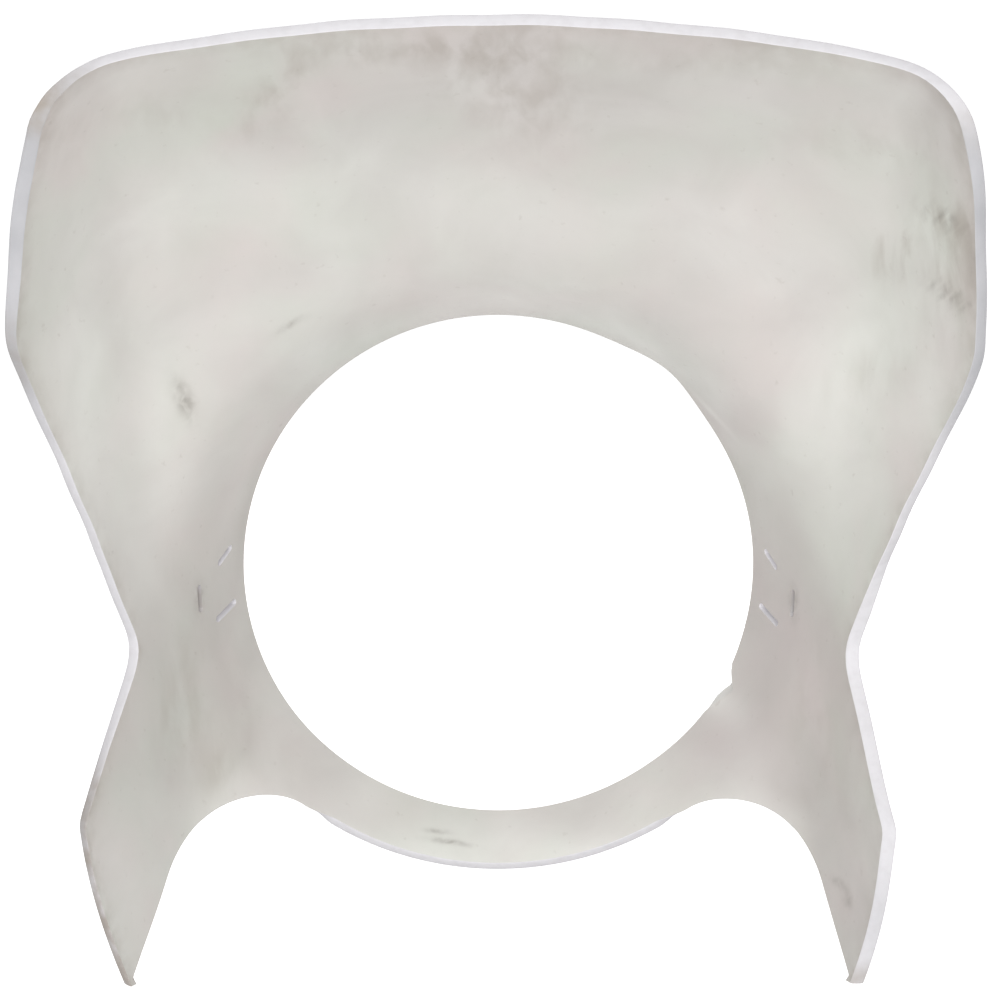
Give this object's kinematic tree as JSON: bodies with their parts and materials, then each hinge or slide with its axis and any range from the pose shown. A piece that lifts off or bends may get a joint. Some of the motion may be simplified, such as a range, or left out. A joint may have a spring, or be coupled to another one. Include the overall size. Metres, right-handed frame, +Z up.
{
  "type": "headlight cowl",
  "caption": "One-piece moulded headlight cowl: round lamp opening with a short flared tunnel, leaning shield, flared rear rim and tapering legs below.",
  "frame": {"origin": "centre of the headlight opening, in the plane of its front lip", "axes": "+X to the right seen from behind, +Y forwards along the opening's axis, +Z up"},
  "size_m": [0.3048, 0.1346, 0.3241],
  "materials": {
    "laminate": "rough white gelcoated fibreglass, inside face unpainted"
  },
  "bodies": {
    "root": {"cowl_shell": "laminate"}
  },
  "joints": []
}
